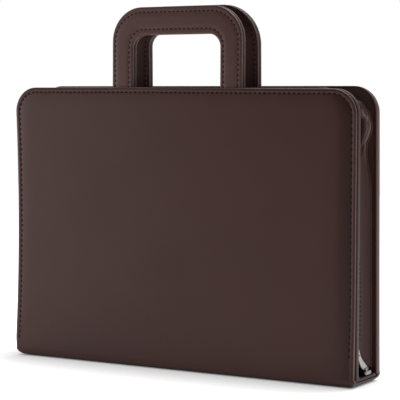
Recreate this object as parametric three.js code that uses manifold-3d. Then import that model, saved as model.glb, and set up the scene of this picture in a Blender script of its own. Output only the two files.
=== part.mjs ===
// A zip-round document case that stands on its spine, with two stitched carrying handles.
// Millimetres. X is the width, Y the depth with the front at -Y, and Z is up.
// The origin is the middle of the base.

import Module from 'manifold-3d';
import * as THREE from 'three';
import { mergeVertices } from 'three/addons/utils/BufferGeometryUtils.js';

const wasm = await Module();
wasm.setup();

// The whole case
const CASE_WIDTH = 358;
const CASE_HEIGHT = 256;
const BACK_RISE = 0.5;
const DEPTH_AT_BASE = 54.6;
const DEPTH_AT_TOP = 49.2;
const TOP_CORNER_RADIUS = 23;
const BASE_CORNER_RADIUS = 6.5;
const LEFT_EDGE_BOW = 2;
const PIECE_GAP = 0.3;

// Outer cover and inner lining
const LEAF_THICKNESS = 5.4;
const SPINE_THICKNESS = 4;
const SPINE_FOLD_RADIUS = 8;
const LINING_THICKNESS = 6.6;
const LINING_SPINE_THICKNESS = 2.6;
const LINING_EDGE_INSET = 0.6;
const LINING_BACK_INSET = 10;
const LINING_BACK_CORNER_RADIUS = 45;
const INNER_FOLD_RADIUS = 3;

// Handles. Their rise is above the top of the front leaf.
const FRONT_HANDLE = { centreX: -1.2, rise: 72.4, cornerRadius: 31, legWidth: 22.2 };
const BACK_HANDLE = { centreX: -4.9, rise: 74.6, cornerRadius: 37, legWidth: 20.6 };
const HANDLE_WIDTH = 136.6;
const GRIP_HEIGHT = 25.4;
const HANDLE_INNER_RADIUS = 12;
const HANDLE_PLY = 4.1;
const HANDLE_EDGE_ROUND = 1;
const LEG_IN_POCKET = 40;
const HANDLE_TRAVEL = 47;
const POCKET_SKIN = 1.8;
const POCKET_SIDE_CLEARANCE = 0.5;
const POCKET_END_CLEARANCE = 4;

// Gusset strip and zip, as distances in from the edges of the covers
const STRIP_THICKNESS = 1.6;
const STRIP_SAG = 1.2;
const STRIP_END_HEIGHT = 13.5;
const STRIP_END_RISE = 24.5;
const STRIP_END_CURVE = 1.5;
const CUT_ENDS_BELOW = 60;
const FOLDED_CORNER = { from: 190, to: 262 };
const TEETH_WIDTH = 5.5;
const TEETH_HEIGHT = 2;
const TEETH_SIDE_GAP = 0.45;
const TAPE_THICKNESS = 1.1;
const TAPE_UNDER_STRIP = 3;
const ZIP_END_HEIGHT = 13;

// Slider and puller at the lower right end of the zip. Places are in (Y, Z) or in (X, Y, Z).
const SLIDER_LENGTH = 11.6;
const SLIDER_WIDTH = 8.2;
const SLIDER_HEIGHT = 3.8;
const SLIDER_EDGE_ROUND = 0.6;
const SLIDER_CORNER_RADIUS = 2;
const SLIDER_CENTRE = { x: 173.2, y: 7.4 };
const LUG_WIDTH = 2;
const LUG_RADIUS = 1.2;
const BAR = { x: 175.6, y: 3.9, z: 12.9, radius: 0.7, length: 5.6 };
const PULLER_THICKNESS = 1.4;
const PULLER_LINE = { root: [6.2, 12.8], bend: [-9.2, 17.6], tip: [-11.6, 30.8] };
const PULLER_HALF_WIDTH = 3.1;
const PULLER_WIDEST = 0.32;
const PULLER_TAPER = { root: 4.8, tip: 1.25 };
const PULLER_EYE = { outer: 1.5, bore: 1, length: 5.2 };
const PULLER_SLOT = { length: 2.6, height: 0.8, share: 0.82 };

// How the zip runs: along is the distance up from the base and on round the corner, y its place
// in the depth, and inset how far its teeth lie in from the edges of the covers.
const RIGHT_ZIP_RUN = [
  { along: 0, y: 14.9, inset: 2.6 },
  { along: 165, y: 13.2, inset: 2.6 },
  { along: 203, y: 7.5, inset: 4.2 },
  { along: 222, y: 11.4, inset: 0.9 },
  { along: 244, y: 7.5, inset: 5.5 },
  { along: 262, y: 5, inset: 9 },
];
const LEFT_ZIP_RUN = [
  { along: 0, y: 14.9, inset: 2.6 },
  { along: 165, y: 13.2, inset: 2.6 },
  { along: 225, y: 6.5, inset: 2.6 },
  { along: 262, y: 5, inset: 9 },
];

// How far in the strip's front edge lies: near the edge on the sides, deeper along the top
const STRIP_FRONT_RUN = [
  { along: 0, inset: 2.2 },
  { along: 225, inset: 2.2 },
  { along: 262, inset: 6.5 },
];

// How far back the tape reaches: onto the back leaf low down, onto the lining higher up.
const RIGHT_TAPE_EDGE = [
  { along: 0, onLeaf: 1 },
  { along: 140, onLeaf: 1 },
  { along: 200, onLeaf: 0 },
  { along: 209, onLeaf: 0 },
  { along: 222, onLeaf: 0.45 },
  { along: 239, onLeaf: 0 },
];
const LEFT_TAPE_EDGE = [
  { along: 0, onLeaf: 1 },
  { along: 140, onLeaf: 1 },
  { along: 203, onLeaf: 0 },
];

// The folds of the strip at the top right corner. across runs from 0 at the front leaf to 1 at the
// zip, slant is its change for each millimetre along, and depth is how far a fold sinks in.
const STRIP_FOLDS = [
  { name: 'pleat', along: 219, across: 0.3, reach: 13, width: 0.16, slant: 0, depth: 5.2 },
  { name: 'crest', along: 221, across: 0.6, reach: 15, width: 0.2, slant: 0, depth: -0.9 },
  { name: 'crease', along: 198, across: 0.5, reach: 7, width: 0.13, slant: 0.035, depth: 2.4 },
];

const ARC_STEPS = 6;
const X_AXIS = new THREE.Vector3(1, 0, 0);
const Y_AXIS = new THREE.Vector3(0, 1, 0);
const Z_AXIS = new THREE.Vector3(0, 0, 1);
const BACKWARD = new THREE.Vector3(0, -1, 0);

const BACK_HEIGHT = CASE_HEIGHT + BACK_RISE;
const LEAN_SLOPE = (DEPTH_AT_BASE - DEPTH_AT_TOP) / 2 / CASE_HEIGHT;
const LEAN = Math.atan(LEAN_SLOPE);
const LINING_DEPTH = LEAF_THICKNESS + PIECE_GAP;
const COVER_DEPTH = LINING_DEPTH + LINING_THICKNESS;
const SPINE_TOP = SPINE_THICKNESS + PIECE_GAP + LINING_SPINE_THICKNESS;

const leather = { color: 0x46352f, roughness: 0.55, metalness: 0 };
const MATERIALS = {
  cover: new THREE.MeshStandardMaterial(leather),
  lining: new THREE.MeshStandardMaterial({ ...leather, color: 0x3f2f2a }),
  strip: new THREE.MeshStandardMaterial({ ...leather, color: 0x4b3a35 }),
  handle: new THREE.MeshStandardMaterial({ ...leather, color: 0x44332d }),
  tape: new THREE.MeshStandardMaterial({ color: 0x2a1a17, roughness: 0.9, metalness: 0 }),
  teeth: new THREE.MeshStandardMaterial({ color: 0x4a3833, roughness: 0.5, metalness: 0 }),
  metal: new THREE.MeshStandardMaterial({ color: 0xc4bdba, roughness: 0.3, metalness: 1 }),
};

function solidOf(geometry) {
  const bare = geometry.clone();
  bare.deleteAttribute('normal');
  bare.deleteAttribute('uv');
  const merged = mergeVertices(bare, 1e-4);
  return new wasm.Manifold(
    new wasm.Mesh({
      numProp: 3,
      vertProperties: new Float32Array(merged.attributes.position.array),
      triVerts: new Uint32Array(merged.index.array),
    }),
  );
}

function geometryOf(solid) {
  const mesh = solid.getMesh();
  const geometry = new THREE.BufferGeometry();
  geometry.setAttribute('position', new THREE.BufferAttribute(mesh.vertProperties, 3));
  geometry.setIndex(new THREE.BufferAttribute(mesh.triVerts, 1));
  geometry.computeVertexNormals();
  return geometry;
}

function meshOf(name, geometry, material) {
  const mesh = new THREE.Mesh(geometry, material);
  mesh.name = name;
  return mesh;
}

// A shape drawn in (Y, Z), extruded along X and centred there
function extrudeAlongX(shape, length) {
  const settings = { depth: length, bevelEnabled: false, curveSegments: ARC_STEPS };
  const geometry = new THREE.ExtrudeGeometry(shape, settings);
  geometry.translate(0, 0, -length / 2);
  return geometry.applyMatrix4(new THREE.Matrix4().makeBasis(Y_AXIS, Z_AXIS, X_AXIS));
}

// A shape drawn in (X, Z), extruded along Y between two places
function extrudeAlongY(shape, from, to) {
  const settings = { depth: to - from, bevelEnabled: false, curveSegments: ARC_STEPS };
  const geometry = new THREE.ExtrudeGeometry(shape, settings);
  geometry.applyMatrix4(new THREE.Matrix4().makeBasis(X_AXIS, Z_AXIS, BACKWARD));
  return geometry.translate(0, to, 0);
}

// How far the outer face of either leaf stands from the middle, at a height
function faceAt(height) {
  return DEPTH_AT_BASE / 2 - height * LEAN_SLOPE;
}

// The section of a wrap that goes down the front, under the inside and up the back
function wrapShape({ outerDepth, innerDepth, outerFloor, innerFloor, outerRadius, innerRadius }) {
  const outerZ = outerFloor + outerRadius;
  const innerZ = innerFloor + innerRadius;
  const outerY = faceAt(outerZ) - outerDepth - outerRadius;
  const innerY = faceAt(innerZ) - innerDepth - innerRadius;
  const top = BACK_HEIGHT + 1;
  const right = Math.PI / 2;
  const shape = new THREE.Shape();
  shape.moveTo(-faceAt(top) + outerDepth, top);
  shape.lineTo(-outerY - outerRadius, outerZ);
  shape.absarc(-outerY, outerZ, outerRadius, Math.PI, 3 * right, false);
  shape.absarc(outerY, outerZ, outerRadius, -right, 0, false);
  shape.lineTo(faceAt(top) - outerDepth, top);
  shape.lineTo(faceAt(top) - innerDepth, top);
  shape.absarc(innerY, innerZ, innerRadius, 0, -right, true);
  shape.absarc(-innerY, innerZ, innerRadius, -right, -Math.PI, true);
  shape.lineTo(-faceAt(top) + innerDepth, top);
  shape.closePath();
  return shape;
}

// The front view of a leaf: round top corners, small base corners and a left edge that bows in
function leafOutline({ sideInset, topInset, height, cornerRadius }) {
  const half = CASE_WIDTH / 2 - sideInset;
  const top = height - topInset;
  const foot = BASE_CORNER_RADIUS;
  const arcZ = top - cornerRadius;
  const right = Math.PI / 2;
  const shape = new THREE.Shape();
  shape.moveTo(-half + foot, 0);
  shape.absarc(half - foot, foot, foot, -right, 0, false);
  shape.absarc(half - cornerRadius, arcZ, cornerRadius, 0, right, false);
  shape.absarc(-half + cornerRadius, arcZ, cornerRadius, right, Math.PI, false);
  const bowTop = Math.min(arcZ, CASE_HEIGHT - TOP_CORNER_RADIUS);
  shape.lineTo(-half, bowTop);
  shape.quadraticCurveTo(-half + 2 * LEFT_EDGE_BOW, (foot + bowTop) / 2, -half, foot);
  shape.absarc(-half + foot, foot, foot, Math.PI, 3 * right, false);
  shape.closePath();
  return shape;
}

// Where a leaf stands: its own Y runs in from the outer face and its Z up along it
function leafMatrix(isBack) {
  const lean = new THREE.Matrix4().makeRotationX(-LEAN);
  const place = new THREE.Matrix4().makeTranslation(0, -DEPTH_AT_BASE / 2, 0).multiply(lean);
  const turn = new THREE.Matrix4().makeRotationZ(isBack ? Math.PI : 0);
  return turn.multiply(place);
}

function handleCentre(isBack) {
  return isBack ? -BACK_HANDLE.centreX : FRONT_HANDLE.centreX;
}

// The two pockets that the handles slide in, each as wide as its handle and open at the top edge
function handlePockets() {
  const thickness = 2 * HANDLE_PLY + 3 * PIECE_GAP;
  const width = HANDLE_WIDTH + 2 * POCKET_SIDE_CLEARANCE;
  const depth = LEG_IN_POCKET + HANDLE_TRAVEL + POCKET_END_CLEARANCE;
  const past = 10;
  const pocket = (isBack) => {
    const box = new THREE.BoxGeometry(width, thickness, depth + past);
    box.translate(handleCentre(isBack), POCKET_SKIN + thickness / 2, CASE_HEIGHT + (past - depth) / 2);
    return solidOf(box.applyMatrix4(leafMatrix(isBack)));
  };
  return pocket(false).add(pocket(true));
}

function outerCover(pockets) {
  const wrap = wrapShape({
    outerDepth: 0,
    innerDepth: LEAF_THICKNESS,
    outerFloor: 0,
    innerFloor: SPINE_THICKNESS,
    outerRadius: SPINE_FOLD_RADIUS,
    innerRadius: INNER_FOLD_RADIUS,
  });
  const edge = { sideInset: 0, topInset: 0, cornerRadius: TOP_CORNER_RADIUS };
  const front = leafOutline({ ...edge, height: CASE_HEIGHT });
  const back = leafOutline({ ...edge, height: BACK_HEIGHT });
  const reach = DEPTH_AT_BASE;
  const aboveFront = new THREE.BoxGeometry(2 * CASE_WIDTH, reach, 2 * TOP_CORNER_RADIUS);
  aboveFront.translate(0, -reach / 2, CASE_HEIGHT);
  const trim = solidOf(aboveFront).subtract(solidOf(extrudeAlongY(front, -2 * reach, reach)));
  const outline = solidOf(extrudeAlongY(back, -reach, reach)).subtract(trim);
  const cover = solidOf(extrudeAlongX(wrap, CASE_WIDTH + 2)).intersect(outline);
  return geometryOf(cover.subtract(pockets));
}

function innerLining(pockets) {
  const wrap = wrapShape({
    outerDepth: LINING_DEPTH,
    innerDepth: COVER_DEPTH,
    outerFloor: SPINE_THICKNESS + PIECE_GAP,
    innerFloor: SPINE_TOP,
    outerRadius: INNER_FOLD_RADIUS - PIECE_GAP,
    innerRadius: INNER_FOLD_RADIUS,
  });
  const front = leafOutline({
    sideInset: LINING_EDGE_INSET,
    topInset: LINING_EDGE_INSET,
    height: CASE_HEIGHT,
    cornerRadius: TOP_CORNER_RADIUS - LINING_EDGE_INSET,
  });
  const back = leafOutline({
    sideInset: LINING_BACK_INSET,
    topInset: LINING_EDGE_INSET,
    height: BACK_HEIGHT,
    cornerRadius: LINING_BACK_CORNER_RADIUS,
  });
  const reach = DEPTH_AT_BASE;
  const frontHalf = solidOf(extrudeAlongY(front, -reach, 0));
  const backHalf = solidOf(extrudeAlongY(back, 0, reach));
  const spine = new THREE.BoxGeometry(CASE_WIDTH - 2 * LINING_EDGE_INSET, 2 * reach, 2 * SPINE_TOP);
  const outline = frontHalf.add(backHalf).add(solidOf(spine));
  const lining = solidOf(extrudeAlongX(wrap, CASE_WIDTH + 2)).intersect(outline);
  return geometryOf(lining.subtract(pockets));
}

// The line along the edges of the covers: up the right side, over the top and down the left side
const SIDE_RUN = CASE_HEIGHT - TOP_CORNER_RADIUS;
const CORNER_RUN = (Math.PI / 2) * TOP_CORNER_RADIUS;
const TOP_RUN = CASE_WIDTH - 2 * TOP_CORNER_RADIUS;
const RIM_RUN = 2 * SIDE_RUN + 2 * CORNER_RUN + TOP_RUN;

function rimPoint(distance) {
  const isLeft = distance > RIM_RUN / 2;
  const along = isLeft ? RIM_RUN - distance : distance;
  const cornerX = CASE_WIDTH / 2 - TOP_CORNER_RADIUS;
  let angle = (along - SIDE_RUN) / TOP_CORNER_RADIUS;
  angle = Math.min(Math.max(angle, 0), Math.PI / 2);
  const outward = { x: Math.cos(angle), z: Math.sin(angle) };
  const onTop = Math.max(along - SIDE_RUN - CORNER_RUN, 0);
  const x = cornerX + TOP_CORNER_RADIUS * outward.x - onTop;
  const z = Math.min(along, SIDE_RUN) + TOP_CORNER_RADIUS * outward.z;
  const share = Math.min(Math.max((z - BASE_CORNER_RADIUS) / (SIDE_RUN - BASE_CORNER_RADIUS), 0), 1);
  const bow = isLeft ? 4 * LEFT_EDGE_BOW * share * (1 - share) : 0;
  const side = isLeft ? -1 : 1;
  return { along, isLeft, x: side * (x - bow), z, outX: side * outward.x, outZ: outward.z };
}

// A value read from a table by its distance along the rim, eased from row to row
function fromTable(rows, along, key) {
  const next = rows.findIndex((row) => row.along >= along);
  if (next === 0) return rows[0][key];
  if (next < 0) return rows[rows.length - 1][key];
  const before = rows[next - 1];
  const after = rows[next];
  const share = THREE.MathUtils.smoothstep(along, before.along, after.along);
  return THREE.MathUtils.lerp(before[key], after[key], share);
}

function zipAt(point, key) {
  return fromTable(point.isLeft ? LEFT_ZIP_RUN : RIGHT_ZIP_RUN, point.along, key);
}

function liningFaceAt(height) {
  return faceAt(Math.min(height, CASE_HEIGHT)) - COVER_DEPTH;
}

// Distances along the rim where a ribbon has a section, close together round the folded corner
function ribbonStations(end) {
  const corner = SIDE_RUN + CORNER_RUN;
  const stretches = [
    { to: CUT_ENDS_BELOW, count: 1 },
    { to: FOLDED_CORNER.from, count: 7 },
    { to: FOLDED_CORNER.to, count: 20 },
    { to: corner + TOP_CORNER_RADIUS / 2, count: 3 },
    { to: RIM_RUN - corner, count: 10 },
    { to: RIM_RUN - SIDE_RUN, count: 7 },
    { to: RIM_RUN - CUT_ENDS_BELOW, count: 8 },
    { to: RIM_RUN - end, count: 1 },
  ];
  const stations = [end];
  for (const { to, count } of stretches) {
    const from = stations[stations.length - 1];
    for (let step = 1; step <= count; step += 1) stations.push(from + ((to - from) * step) / count);
  }
  return stations;
}

// A closed band: place(distance, across) gives its Y, its inset and a distance of its own at the ends
function ribbon(stations, crossSteps, thickness, place) {
  const positions = [];
  const index = [];
  const columns = crossSteps + 1;
  const layer = stations.length * columns;
  for (const depth of [0, thickness]) {
    stations.forEach((station) => {
      for (let column = 0; column < columns; column += 1) {
        const { distance, y, inset } = place(station, column / crossSteps);
        const point = rimPoint(distance);
        const sunk = inset + depth;
        positions.push(point.x - point.outX * sunk, y, point.z - point.outZ * sunk);
      }
    });
  }
  const quad = (a, b, c, d) => index.push(a, b, c, a, c, d);
  const at = (row, column, isInner) => row * columns + column + (isInner ? layer : 0);
  const lastRow = stations.length - 1;
  for (let row = 0; row < lastRow; row += 1) {
    for (let column = 0; column < crossSteps; column += 1) {
      quad(at(row, column), at(row, column + 1), at(row + 1, column + 1), at(row + 1, column));
      quad(at(row, column, 1), at(row + 1, column, 1), at(row + 1, column + 1, 1), at(row, column + 1, 1));
    }
    quad(at(row, 0), at(row + 1, 0), at(row + 1, 0, 1), at(row, 0, 1));
    quad(at(row, crossSteps), at(row, crossSteps, 1), at(row + 1, crossSteps, 1), at(row + 1, crossSteps));
  }
  for (let column = 0; column < crossSteps; column += 1) {
    quad(at(0, column), at(0, column, 1), at(0, column + 1, 1), at(0, column + 1));
    quad(at(lastRow, column), at(lastRow, column + 1), at(lastRow, column + 1, 1), at(lastRow, column, 1));
  }
  const geometry = new THREE.BufferGeometry();
  geometry.setAttribute('position', new THREE.Float32BufferAttribute(positions, 3));
  geometry.setIndex(index);
  geometry.computeVertexNormals();
  return geometry;
}

function foldDepth(point, across) {
  if (point.isLeft) return 0;
  let sunk = 0;
  for (const fold of STRIP_FOLDS) {
    const away = (point.along - fold.along) / fold.reach;
    const middle = fold.across + fold.slant * (point.along - fold.along);
    const aside = (across - middle) / fold.width;
    sunk += fold.depth * Math.exp(-away * away - aside * aside);
  }
  return sunk;
}

// The strip's lower ends are cut on a slant, higher at the front leaf than at the zip
function gussetStrip() {
  const place = (station, across) => {
    const end = STRIP_END_HEIGHT + STRIP_END_RISE * (1 - across) ** STRIP_END_CURVE;
    const distance = Math.min(Math.max(station, end), RIM_RUN - end);
    const point = rimPoint(distance);
    const front = PIECE_GAP - liningFaceAt(point.z);
    const back = zipAt(point, 'y') - TEETH_WIDTH / 2 - TEETH_SIDE_GAP;
    const frontInset = fromTable(STRIP_FRONT_RUN, point.along, 'inset');
    const edge = THREE.MathUtils.lerp(frontInset, zipAt(point, 'inset'), across);
    const sag = 4 * STRIP_SAG * across * (1 - across);
    const y = THREE.MathUtils.lerp(front, back, across);
    return { distance, y, inset: edge + sag + foldDepth(point, across) };
  };
  return ribbon(ribbonStations(STRIP_END_HEIGHT), 10, STRIP_THICKNESS, place);
}

function zipTeeth() {
  const place = (distance, across) => {
    const point = rimPoint(distance);
    const y = zipAt(point, 'y') + TEETH_WIDTH * (across - 0.5);
    return { distance, y, inset: zipAt(point, 'inset') };
  };
  return ribbon(ribbonStations(ZIP_END_HEIGHT), 1, TEETH_HEIGHT, place);
}

function zipTape() {
  const place = (distance, across) => {
    const point = rimPoint(distance);
    const table = point.isLeft ? LEFT_TAPE_EDGE : RIGHT_TAPE_EDGE;
    const onLeaf = fromTable(table, point.along, 'onLeaf');
    const lining = liningFaceAt(point.z) - PIECE_GAP;
    const leaf = lining + LINING_THICKNESS;
    const back = THREE.MathUtils.lerp(lining, leaf, onLeaf);
    const front = zipAt(point, 'y') - TEETH_WIDTH / 2 - TAPE_UNDER_STRIP;
    const y = THREE.MathUtils.lerp(front, back, across);
    return { distance, y, inset: zipAt(point, 'inset') + TEETH_HEIGHT + PIECE_GAP };
  };
  return ribbon(ribbonStations(ZIP_END_HEIGHT), 3, TAPE_THICKNESS, place);
}

// A cylinder along Y, round the middle of the slider's bar
function roundBar(radius, length) {
  const bar = new THREE.CylinderGeometry(radius, radius, length, 16);
  return solidOf(bar.translate(BAR.x, BAR.y, BAR.z));
}

function roundedRectangle(width, height, radius) {
  const x = width / 2 - radius;
  const y = height / 2 - radius;
  const right = Math.PI / 2;
  const shape = new THREE.Shape();
  shape.absarc(x, -y, radius, -right, 0, false);
  shape.absarc(x, y, radius, 0, right, false);
  shape.absarc(-x, y, radius, right, 2 * right, false);
  shape.absarc(-x, -y, radius, 2 * right, 3 * right, false);
  shape.closePath();
  return shape;
}

// The slider lies on the spine. A lug on it carries the bar for the puller.
function zipSlider() {
  const round = SLIDER_EDGE_ROUND;
  const plan = roundedRectangle(SLIDER_WIDTH, SLIDER_LENGTH, SLIDER_CORNER_RADIUS);
  const body = new THREE.ExtrudeGeometry(plan, {
    depth: SLIDER_HEIGHT - 2 * round,
    bevelThickness: round,
    bevelSize: round,
    bevelOffset: -round,
    bevelSegments: 2,
    curveSegments: 3,
  });
  body.translate(SLIDER_CENTRE.x, SLIDER_CENTRE.y, SPINE_TOP + PIECE_GAP + round);
  const lugHeight = BAR.z - SPINE_TOP - PIECE_GAP - SLIDER_HEIGHT / 2;
  const lug = new THREE.BoxGeometry(2 * LUG_RADIUS, LUG_WIDTH, lugHeight);
  lug.translate(BAR.x, BAR.y, BAR.z - lugHeight / 2);
  const holder = solidOf(lug).add(roundBar(LUG_RADIUS, LUG_WIDTH));
  return geometryOf(solidOf(body).add(holder).add(roundBar(BAR.radius, BAR.length)));
}

// A curved flat tab whose broad face looks out sideways. Its split eye goes round the slider's bar,
// and a slot lies across its tip.
function zipPuller() {
  const [root, bend, tip] = ['root', 'bend', 'tip'].map((key) => new THREE.Vector2(...PULLER_LINE[key]));
  const curve = new THREE.QuadraticBezierCurve(root, bend, tip);
  const halfWidth = (share) => {
    const taper = share < PULLER_WIDEST ? PULLER_TAPER.root : PULLER_TAPER.tip;
    return PULLER_HALF_WIDTH * (1 - taper * (share - PULLER_WIDEST) ** 2);
  };
  const around = (share, angle) => {
    const ahead = curve.getTangent(share);
    const out = ahead.clone().rotateAround(new THREE.Vector2(), angle);
    return curve.getPoint(share).addScaledVector(out, halfWidth(share));
  };
  const right = Math.PI / 2;
  const steps = 10;
  const outline = [];
  for (let step = 0; step < steps; step += 1) outline.push(around(step / steps, -right));
  for (let step = 0; step <= ARC_STEPS; step += 1) outline.push(around(1, -right + (2 * right * step) / ARC_STEPS));
  for (let step = steps - 1; step >= 0; step -= 1) outline.push(around(step / steps, right));
  const tab = extrudeAlongX(new THREE.Shape(outline), PULLER_THICKNESS).translate(BAR.x, 0, 0);
  const sliderTop = SPINE_TOP + PIECE_GAP + SLIDER_HEIGHT;
  const below = new THREE.BoxGeometry(20, 40, 20).translate(BAR.x, 0, sliderTop + PIECE_GAP - 10);
  const slotPlace = curve.getPoint(PULLER_SLOT.share);
  const slot = new THREE.BoxGeometry(3 * PULLER_THICKNESS, PULLER_SLOT.length, PULLER_SLOT.height);
  slot.translate(BAR.x, slotPlace.x, slotPlace.y);
  const lugGap = LUG_WIDTH + 2 * PIECE_GAP;
  const lugFoot = new THREE.BoxGeometry(20, lugGap, 20).translate(BAR.x, BAR.y, BAR.z - 10);
  const lugRoom = roundBar(LUG_RADIUS + PIECE_GAP, lugGap).add(solidOf(lugFoot));
  const eye = roundBar(PULLER_EYE.outer, PULLER_EYE.length);
  const whole = solidOf(tab).subtract(solidOf(below)).add(eye);
  const open = whole.subtract(roundBar(PULLER_EYE.bore, PULLER_EYE.length + 4)).subtract(lugRoom);
  return geometryOf(open.subtract(solidOf(slot)));
}

// One ply of a handle, drawn in its leaf's own frame: a grip and two legs that end in the pockets
function handlePly(isBack, depthIn) {
  const { rise, legWidth, cornerRadius: outerR } = isBack ? BACK_HANDLE : FRONT_HANDLE;
  const innerR = HANDLE_INNER_RADIUS;
  const outer = HANDLE_WIDTH / 2;
  const inner = outer - legWidth;
  const top = CASE_HEIGHT + rise;
  const gripZ = top - GRIP_HEIGHT;
  const foot = CASE_HEIGHT - LEG_IN_POCKET + (rise - FRONT_HANDLE.rise);
  const right = Math.PI / 2;
  const shape = new THREE.Shape();
  shape.moveTo(inner, foot);
  shape.lineTo(outer, foot);
  shape.absarc(outer - outerR, top - outerR, outerR, 0, right, false);
  shape.absarc(-outer + outerR, top - outerR, outerR, right, 2 * right, false);
  shape.lineTo(-outer, foot);
  shape.lineTo(-inner, foot);
  shape.absarc(-inner + innerR, gripZ - innerR, innerR, 2 * right, right, true);
  shape.absarc(inner - innerR, gripZ - innerR, innerR, right, 0, true);
  shape.closePath();
  const round = HANDLE_EDGE_ROUND;
  const geometry = new THREE.ExtrudeGeometry(shape, {
    depth: HANDLE_PLY - 2 * round,
    bevelThickness: round,
    bevelSize: round,
    bevelOffset: -round,
    bevelSegments: 1,
    curveSegments: ARC_STEPS,
  });
  geometry.translate(handleCentre(isBack), 0, round);
  geometry.applyMatrix4(new THREE.Matrix4().makeBasis(X_AXIS, Z_AXIS, BACKWARD));
  geometry.translate(0, depthIn + HANDLE_PLY, 0);
  return geometryOf(solidOf(geometry.applyMatrix4(leafMatrix(isBack))));
}

function handlePlies(isBack) {
  const name = isBack ? 'handle_back' : 'handle_front';
  const outerDepth = POCKET_SKIN + PIECE_GAP;
  const innerDepth = outerDepth + HANDLE_PLY + PIECE_GAP;
  return [
    meshOf(`${name}_outer`, handlePly(isBack, outerDepth), MATERIALS.handle),
    meshOf(`${name}_inner`, handlePly(isBack, innerDepth), MATERIALS.handle),
  ];
}

const documentCase = new THREE.Group();
const pockets = handlePockets();
documentCase.add(
  meshOf('outer_cover', outerCover(pockets), MATERIALS.cover),
  meshOf('inner_lining', innerLining(pockets), MATERIALS.lining),
  meshOf('gusset_strip', gussetStrip(), MATERIALS.strip),
  meshOf('zip_tape', zipTape(), MATERIALS.tape),
  meshOf('zip_teeth', zipTeeth(), MATERIALS.teeth),
  meshOf('zip_slider', zipSlider(), MATERIALS.metal),
  meshOf('zip_puller', zipPuller(), MATERIALS.metal),
  ...handlePlies(false),
  ...handlePlies(true),
);

export default documentCase;
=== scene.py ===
import math

import bmesh
import bpy
import numpy as np
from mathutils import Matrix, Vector


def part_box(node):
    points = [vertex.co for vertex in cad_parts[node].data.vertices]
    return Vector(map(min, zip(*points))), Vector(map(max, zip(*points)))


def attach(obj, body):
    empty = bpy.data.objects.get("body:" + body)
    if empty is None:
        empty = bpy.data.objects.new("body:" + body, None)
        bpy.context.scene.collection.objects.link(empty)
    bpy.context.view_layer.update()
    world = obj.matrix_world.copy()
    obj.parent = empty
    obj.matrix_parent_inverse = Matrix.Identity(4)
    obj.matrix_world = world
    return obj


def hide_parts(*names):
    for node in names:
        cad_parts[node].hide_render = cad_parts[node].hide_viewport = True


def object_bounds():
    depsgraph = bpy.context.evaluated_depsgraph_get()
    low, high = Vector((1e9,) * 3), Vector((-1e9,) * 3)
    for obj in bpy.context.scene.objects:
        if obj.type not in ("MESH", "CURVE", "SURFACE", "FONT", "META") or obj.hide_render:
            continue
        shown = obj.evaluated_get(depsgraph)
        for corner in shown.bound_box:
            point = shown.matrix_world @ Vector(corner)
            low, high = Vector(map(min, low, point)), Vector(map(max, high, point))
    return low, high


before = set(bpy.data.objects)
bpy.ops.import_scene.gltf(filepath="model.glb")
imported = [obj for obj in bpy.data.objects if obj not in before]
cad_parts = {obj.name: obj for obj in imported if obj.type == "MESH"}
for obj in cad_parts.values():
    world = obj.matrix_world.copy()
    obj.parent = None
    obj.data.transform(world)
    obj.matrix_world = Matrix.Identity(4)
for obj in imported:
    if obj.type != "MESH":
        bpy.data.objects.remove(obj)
cad_low, cad_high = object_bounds()
scene = bpy.context.scene


# The place: white paper under the case, which glows as painted light, and white all round, brighter
# behind it. The paper's glow fades near the case and is gone under it, a painted shadow. A large soft
# light stands at the left and another hangs high behind. The camera stands where the photo's camera stood.
camera_tilt = 2.32
camera_turn = 30.9
camera = bpy.data.objects.new("camera", bpy.data.cameras.new("camera"))
camera.data.lens = 146.27
camera.data.sensor_width = 36
camera.data.shift_y = -0.1138
camera.location = (0.7685, -1.2649, 0.2543)
camera.rotation_euler = (math.radians(90 - camera_tilt), 0, math.radians(camera_turn))
scene.collection.objects.link(camera)
scene.camera = camera
scene.view_settings.view_transform = "Standard"


def soft_light(name, place, aim, size, watts):
    """A rectangle of light at a place, facing what it is aimed at."""
    light = bpy.data.objects.new(name, bpy.data.lights.new(name, "AREA"))
    light.data.shape = "RECTANGLE"
    light.data.size, light.data.size_y = size
    light.data.energy = watts
    light.location = place
    light.rotation_euler = (Vector(place) - Vector(aim)).to_track_quat("Z", "Y").to_euler()
    scene.collection.objects.link(light)


soft_light("left_window", place=(-1.5, -0.75, 0.25), aim=(-0.1, 0, 0.1), size=(1.0, 0.5), watts=11.5)
soft_light("top_light", place=(0.25, 0.6, 1.5), aim=(0, 0, 0.1), size=(1.2, 1.2), watts=16)


def add_node(tree, kind, values=None, **settings):
    """A node with its settings and the values of the inputs that nothing is linked to."""
    made = tree.nodes.new(kind)
    for name, value in settings.items():
        setattr(made, name, value)
    for socket, value in (values or {}).items():
        made.inputs[socket].default_value = value
    return made


def link_all(tree, rows):
    """Links rows of a node, its output, the next node and its input."""
    for source, output, target, socket in rows:
        tree.links.new(source.outputs[output], target.inputs[socket])


def new_material(name, values):
    """A material with its tree, its shader, set to the values, and its coordinates."""
    material = bpy.data.materials.new(name)
    material.use_nodes = True
    tree = material.node_tree
    shader = tree.nodes["Principled BSDF"]
    for socket, value in values.items():
        shader.inputs[socket].default_value = value
    return material, tree, shader, add_node(tree, "ShaderNodeTexCoord")


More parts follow.
